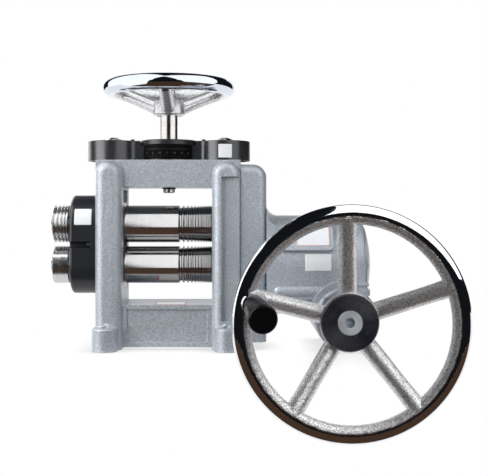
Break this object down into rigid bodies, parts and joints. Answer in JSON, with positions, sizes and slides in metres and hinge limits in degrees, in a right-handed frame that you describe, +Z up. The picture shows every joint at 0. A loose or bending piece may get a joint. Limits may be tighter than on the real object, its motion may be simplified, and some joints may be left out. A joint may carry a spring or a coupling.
{
  "type": "jewellers rolling mill",
  "caption": "Bench rolling mill for jewellers: a cast frame carries flat and grooved rolls, geared screwdown with a top handwheel, and a worm gearbox driven by a spoked crank wheel.",
  "frame": {"origin": "middle of the four foot-bolt holes, on the bench surface", "axes": "+X along the rolls, towards the gearbox; +Y to the back, away from the crank wheel's face; +Z up from the bench"},
  "size_m": [0.5984, 0.364, 0.5134],
  "materials": {
    "hammered_paint": "fine hammered silver-grey paint on cast iron",
    "black_case": "satin black",
    "black_guard": "satin black paint",
    "polished_roll": "ground and mirror polished, hardened",
    "turned_steel": "turned and ground, light oil",
    "screw_steel": "polished heads, turned stems",
    "gear_steel": "machined, oiled",
    "chocks": "machined",
    "bronze": "turned bearing bronze",
    "black_screws": "black oxide",
    "chrome_wheels": "chrome plate, mirror on the rims' outer faces and cast on the spokes",
    "black_grip": "black moulded",
    "seal_rubber": "black lip seal"
  },
  "bodies": {
    "root": {"frame": "hammered_paint", "lower_chocks": "chocks", "lower_bushes": "bronze", "screw_nuts": "bronze", "spindle_bush": "bronze", "gear_case": "black_case", "case_screws": "black_screws", "index_band": "black_case", "idler_pins": "gear_steel", "gear_guard": "black_guard", "guard_screws": "black_screws", "adapter": "hammered_paint", "adapter_bolts": "black_screws", "gearbox_housing": "hammered_paint", "housing_bolts": "black_screws", "gearbox_end_cover": "hammered_paint", "end_cover_bolts": "black_screws", "output_bush": "bronze", "worm_bearings": "gear_steel", "worm_caps": "hammered_paint", "worm_cap_screws": "black_screws", "shaft_seal": "seal_rubber", "drain_plug": "hammered_paint", "lift_springs": "black_screws"},
    "lower_roll_set": {"lower_roll": "polished_roll", "lower_roll_gear": "gear_steel", "lower_extension_roll": "turned_steel", "lower_end_screw": "screw_steel", "worm_wheel": "bronze", "wheel_key": "gear_steel", "wheel_collar": "turned_steel"},
    "upper_carriage": {"upper_chocks": "chocks", "upper_bushes": "bronze", "thrust_pads": "turned_steel"},
    "upper_roll_set": {"upper_roll": "polished_roll", "upper_roll_gear": "gear_steel", "upper_extension_roll": "turned_steel", "upper_end_screw": "screw_steel"},
    "left_screw": {"adjusting_screw_left": "screw_steel", "screw_gear_left": "gear_steel", "dome_cap_left": "screw_steel"},
    "right_screw": {"adjusting_screw_right": "screw_steel", "screw_gear_right": "gear_steel", "dome_cap_right": "screw_steel"},
    "left_idler": {"idler_gear_left": "gear_steel"},
    "right_idler": {"idler_gear_right": "gear_steel"},
    "screwdown": {"spindle": "turned_steel", "spindle_gear": "gear_steel", "dial_disc": "black_case", "top_handwheel": "chrome_wheels", "handwheel_nut": "screw_steel", "spindle_circlip": "gear_steel"},
    "crank": {"worm_shaft": "turned_steel", "crank_wheel": "chrome_wheels", "hub_disc": "black_case", "hub_key": "gear_steel", "handle_spindle": "turned_steel"},
    "grip": {"handle_grip": "black_grip"}
  },
  "joints": [
    {"name": "crank_turn", "type": "hinge", "parent": "root", "child": "crank", "pos_m": [0.2585, 0, 0.049], "axis": [0, 1, 0], "continuous": true},
    {"name": "grip_turn", "type": "hinge", "parent": "crank", "child": "grip", "pos_m": [0.12942, -0.20154, 0.07313], "axis": [-0.1249, 0.9848, 0.1206], "continuous": true},
    {"name": "lower_roll_turn", "type": "hinge", "parent": "root", "child": "lower_roll_set", "pos_m": [0, 0, 0.123], "axis": [1, 0, 0], "continuous": true},
    {"name": "screwdown_turn", "type": "hinge", "parent": "root", "child": "screwdown", "pos_m": [0, 0, 0.3], "axis": [0, 0, 1], "range_deg": [-1080, 335]},
    {"name": "upper_roll_lift", "type": "slide", "parent": "root", "child": "upper_carriage", "axis": [0, 0, 1], "range_m": [-0.0049, 0.0016], "deforming": ["lift_springs"]},
    {"name": "upper_roll_turn", "type": "hinge", "parent": "upper_carriage", "child": "upper_roll_set", "pos_m": [0, 0, 0.184], "axis": [1, 0, 0], "continuous": true},
    {"name": "left_screw_turn", "type": "hinge", "parent": "upper_carriage", "child": "left_screw", "pos_m": [-0.084, 0, 0.25], "axis": [0, 0, 1], "range_deg": [-865, 270]},
    {"name": "right_screw_turn", "type": "hinge", "parent": "upper_carriage", "child": "right_screw", "pos_m": [0.084, 0, 0.25], "axis": [0, 0, 1], "range_deg": [-865, 270]},
    {"name": "left_idler_turn", "type": "hinge", "parent": "root", "child": "left_idler", "pos_m": [-0.039, 0, 0.29], "axis": [0, 0, 1], "range_deg": [-540, 1730]},
    {"name": "right_idler_turn", "type": "hinge", "parent": "root", "child": "right_idler", "pos_m": [0.039, 0, 0.29], "axis": [0, 0, 1], "range_deg": [-540, 1730]}
  ],
  "couplings": [
    {"joint": "lower_roll_turn", "follows": "crank_turn", "ratio": -0.21739},
    {"joint": "upper_roll_turn", "follows": "crank_turn", "ratio": 0.21739},
    {"joint": "upper_roll_lift", "follows": "screwdown_turn", "m_per_rad": 0.00025465},
    {"joint": "left_screw_turn", "follows": "screwdown_turn", "ratio": 0.8},
    {"joint": "right_screw_turn", "follows": "screwdown_turn", "ratio": 0.8},
    {"joint": "left_idler_turn", "follows": "screwdown_turn", "ratio": -1.6},
    {"joint": "right_idler_turn", "follows": "screwdown_turn", "ratio": -1.6}
  ]
}
